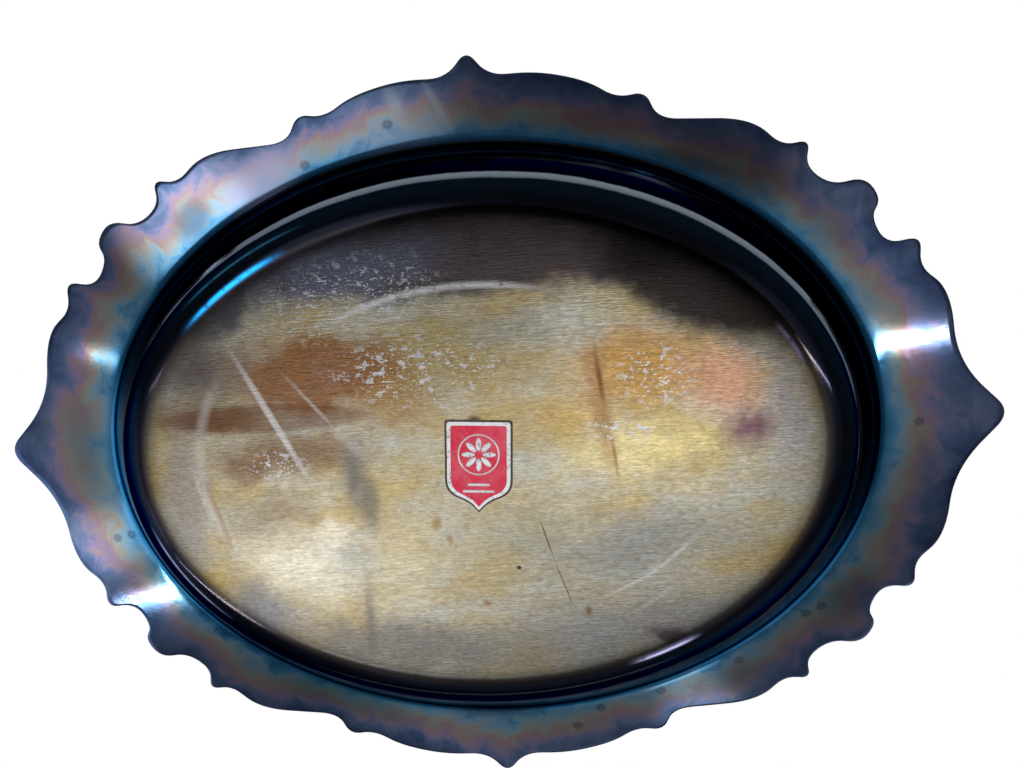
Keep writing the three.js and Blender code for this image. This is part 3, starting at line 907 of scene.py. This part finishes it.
def border_length(name, first, last):
    """One length of the border, between two saw cuts: the relief is pressed from a flat
    sheet, which is then drawn down to the rim all round and closed."""
    run = (cut_turn(last, BORDER_OUT) - cut_turn(first, BORDER_OUT)) * BORDER_RADIUS
    columns = max(24, round(run / RELIEF_STEP))
    along, across = np.meshgrid(np.linspace(0, 1, columns), np.linspace(0, 1, RELIEF_ROWS))
    out = np.full(along.shape, BORDER_OUT)
    pad = SAW_GAP / 2 / BORDER_RADIUS
    for _ in range(6):
        begin, end = cut_turn(first, out), cut_turn(last, out)
        turn = begin + pad + (end - begin - 2 * pad) * along
        edge = edge_out(turn)
        inner = np.interp(turn, INNER_TURN[np.argsort(INNER_TURN)],
                          INNER_OUT[np.argsort(INNER_TURN)], period=2 * math.pi)
        out = edge + (inner - edge) * across
    x, y = from_press(turn, out)
    flat = np.stack((x.ravel(), y.ravel()), axis=1)
    height = relief(flat).reshape(along.shape)
    top = rim_height(out) + SHEET + height
    piece = press(name, columns, RELIEF_ROWS, np.stack((x, y, top), axis=2))
    tidy_mesh(piece, (0, 0, 1))
    bpy.ops.object.mode_set(mode="EDIT")
    bpy.ops.mesh.select_mode(type="EDGE")
    bpy.ops.mesh.select_all(action="SELECT")
    bpy.ops.mesh.region_to_loop()
    bpy.ops.mesh.extrude_region_move()
    bpy.ops.object.mode_set(mode="OBJECT")
    count = columns * RELIEF_ROWS
    places = plan(piece)
    skirt = np.arange(len(places)) >= count
    _, skirt_out = to_press(places[skirt, :2])
    places[skirt, 2] = rim_height(skirt_out) + SHEET - SINK
    piece.data.vertices.foreach_set("co", (places * MM).ravel())
    bpy.ops.object.mode_set(mode="EDIT")
    bpy.ops.mesh.edge_face_add()
    bpy.ops.mesh.select_all(action="SELECT")
    bpy.ops.mesh.normals_make_consistent(inside=False)
    bpy.ops.object.mode_set(mode="OBJECT")
    bpy.ops.object.shade_smooth_by_angle(angle=math.radians(50))
    # Grooves lie below the smoothed relief, and hold the tarnish.
    smooth = height.copy()
    for _ in range(6):
        padded = np.pad(smooth, 1, mode="edge")
        smooth = (padded[:-2, 1:-1] + padded[2:, 1:-1] + padded[1:-1, :-2]
                  + padded[1:-1, 2:] + padded[1:-1, 1:-1]) / 5
    column, row = np.meshgrid(np.arange(columns), np.arange(RELIEF_ROWS))
    groove = np.ones(len(piece.data.vertices), dtype=np.float32)
    groove[:count] = np.clip(0.5 + (smooth - height) * 1.6, 0, 1)[row, column].ravel()
    mark(piece, "groove", groove)
    return piece


def mirrored_copy(piece, name, x, y):
    """A copy of a length with its own mesh, mirrored across one or both upright planes."""
    copy = piece.copy()
    copy.data = piece.data.copy()
    copy.name = copy.data.name = name
    bpy.context.scene.collection.objects.link(copy)
    copy.data.transform(Matrix.Diagonal((x, y, 1, 1)))
    if x * y < 0:
        copy.data.flip_normals()
    return copy


def make_border():
    """Five lengths are modelled, and mirrored into the sixteen."""
    end, short, corner, long = [(cut, None) for cut in SAW_CUTS]
    lengths = {}
    before_end = (SAW_CUTS[0], 0)
    after_side = (SAW_CUTS[3], math.pi)
    lengths["end_shell_right"] = border_length("shell_end_right", before_end, end)
    lengths["end_shell_left"] = mirrored_copy(lengths["end_shell_right"], "shell_end_left", -1, 1)
    lengths["side_shell_back"] = border_length("shell_side_back", long, after_side)
    lengths["side_shell_front"] = mirrored_copy(lengths["side_shell_back"], "shell_side_front",
                                                1, -1)
    for node, first, last in (("short_scroll", end, short), ("corner_cluster", short, corner),
                              ("long_scroll", corner, long)):
        made = border_length(node + "_relief_back_right", first, last)
        lengths[node + "_back_right"] = made
        for where, x, y in (("back_left", -1, 1), ("front_left", -1, -1), ("front_right", 1, -1)):
            lengths[node + "_" + where] = mirrored_copy(made, node + "_relief_" + where, x, y)
    return lengths


# ---- Label ----

LABEL_CENTRE = (-0.3, 4.6)
LABEL_TURN = math.radians(3)
HALF_WIDTH, HALF_LENGTH = 13, 18.5
LABEL_CORNERS = [
    (-13, -18.5, 1.2), (13, -18.5, 1.2), (13, 10.5, 5), (3.4, 14.6, 4), (0, 18.5, 0.6),
    (-3.4, 14.6, 4), (-13, 10.5, 5),
]
ROSETTE_Y, PETAL_R, RING_R = -5, 4.3, 8.3  # its middle, and how far out its petals and ring are
# The glue ring is darkened as a painted shadow round the tag's edge.
GLUE_AND_SHADOW_SHOWS = 0.9  # glue that has crept out round the tag, and gathered dirt
EDGE_WIDTH = 1.5  # of the tag's bright edge
# Heights: it looks down, and its back is against the base.
BACK, GLUE_AND_SHADOW_FACE, EDGE_FACE, FIELD_FACE = 0.91, 0.82, 0.73, 0.78


def foil_label():
    """A stamped foil tag: a red field in a raised bright edge, with a plain eight-petalled
    rosette and two plain bars where a maker would put its own mark."""
    outline = rounded(LABEL_CORNERS, 0.9)
    outline = np.vstack((outline, outline[:1]))
    rings = []
    for grown, height in ((None, BACK), (GLUE_AND_SHADOW_SHOWS, BACK), (GLUE_AND_SHADOW_SHOWS, GLUE_AND_SHADOW_FACE),
                          (0, GLUE_AND_SHADOW_FACE), (0, EDGE_FACE), (-EDGE_WIDTH, EDGE_FACE),
                          (-EDGE_WIDTH, FIELD_FACE), (None, FIELD_FACE)):
        scale = (0, 0)
        if grown is not None:
            scale = (1 + grown / HALF_WIDTH, 1 + grown / HALF_LENGTH)
        rings.append(np.column_stack((outline * scale, np.full(len(outline), height))))
    tag = press("foil_tag", len(outline), len(rings), np.array(rings))
    glue_and_shadow_ring, bright, red = range(3)
    for material in (glue_and_painted_shadow(), bright_foil(), red_foil()):
        tag.data.materials.append(material)
    by_ring = [glue_and_shadow_ring, glue_and_shadow_ring, glue_and_shadow_ring, bright, bright, red, red]
    for face in tag.data.polygons:
        face.material_index = by_ring[min(face.vertices) // len(outline)]
    tidy_mesh(tag, (0, 0, 1))
    stamped = []
    for k in range(8):
        angle = math.radians(45 * k)
        centre = (PETAL_R * math.cos(angle), PETAL_R * math.sin(angle) + ROSETTE_Y, FIELD_FACE)
        stamped.append(petal(centre, angle))
    bpy.ops.mesh.primitive_torus_add(
        location=Vector((0, ROSETTE_Y, FIELD_FACE)) * MM, major_segments=48, minor_segments=8,
        major_radius=RING_R * MM, minor_radius=0.32 * MM)
    bpy.ops.transform.resize(value=(1, 1, 0.25))
    stamped.append(bpy.context.object)
    for y, length in ((7.6, 9), (10.4, 13)):
        bpy.ops.mesh.primitive_cube_add(size=MM, location=Vector((0, y, FIELD_FACE)) * MM)
        bpy.ops.transform.resize(value=(length, 1.1, 0.1))
        bar = bpy.context.object
        bpy.ops.object.transform_apply(location=False, rotation=False, scale=True)
        modify(bar, "BEVEL", width=0.03 * MM, segments=2)
        stamped.append(bar)
    for piece in stamped:
        piece.data.materials.clear()
        piece.data.materials.append(tag.data.materials[bright])
        piece.select_set(True)
    tag.select_set(True)
    bpy.context.view_layer.objects.active = tag
    bpy.ops.object.join()
    tag.data.transform(Matrix.Translation(Vector((*LABEL_CENTRE, 0)) * MM)
                       @ Matrix.Rotation(LABEL_TURN, 4, "Z"))
    bpy.ops.object.shade_smooth_by_angle(angle=math.radians(30))
    return tag


def petal(place, angle):
    """A flattened petal, pointing away from the rosette's middle."""
    bpy.ops.mesh.primitive_uv_sphere_add(segments=16, ring_count=8, radius=MM,
                                         location=Vector(place) * MM)
    made = bpy.context.object
    made.scale = (2.7, 1.15, 0.09)
    made.rotation_euler = (0, 0, angle)
    bpy.ops.object.transform_apply(location=True, rotation=True, scale=True)
    return made


# ---- Making it ----

bpy.context.scene.view_settings.view_transform = "Standard"
make_camera()
make_floor()
make_light()

body = tray_body()
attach(body, "root")
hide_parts("tray_body")

silver = cast_silver()
for node, piece in make_border().items():
    piece.data.materials.append(silver)
    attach(piece, "root")
    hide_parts(node)

label = foil_label()
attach(label, "root")
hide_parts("label")
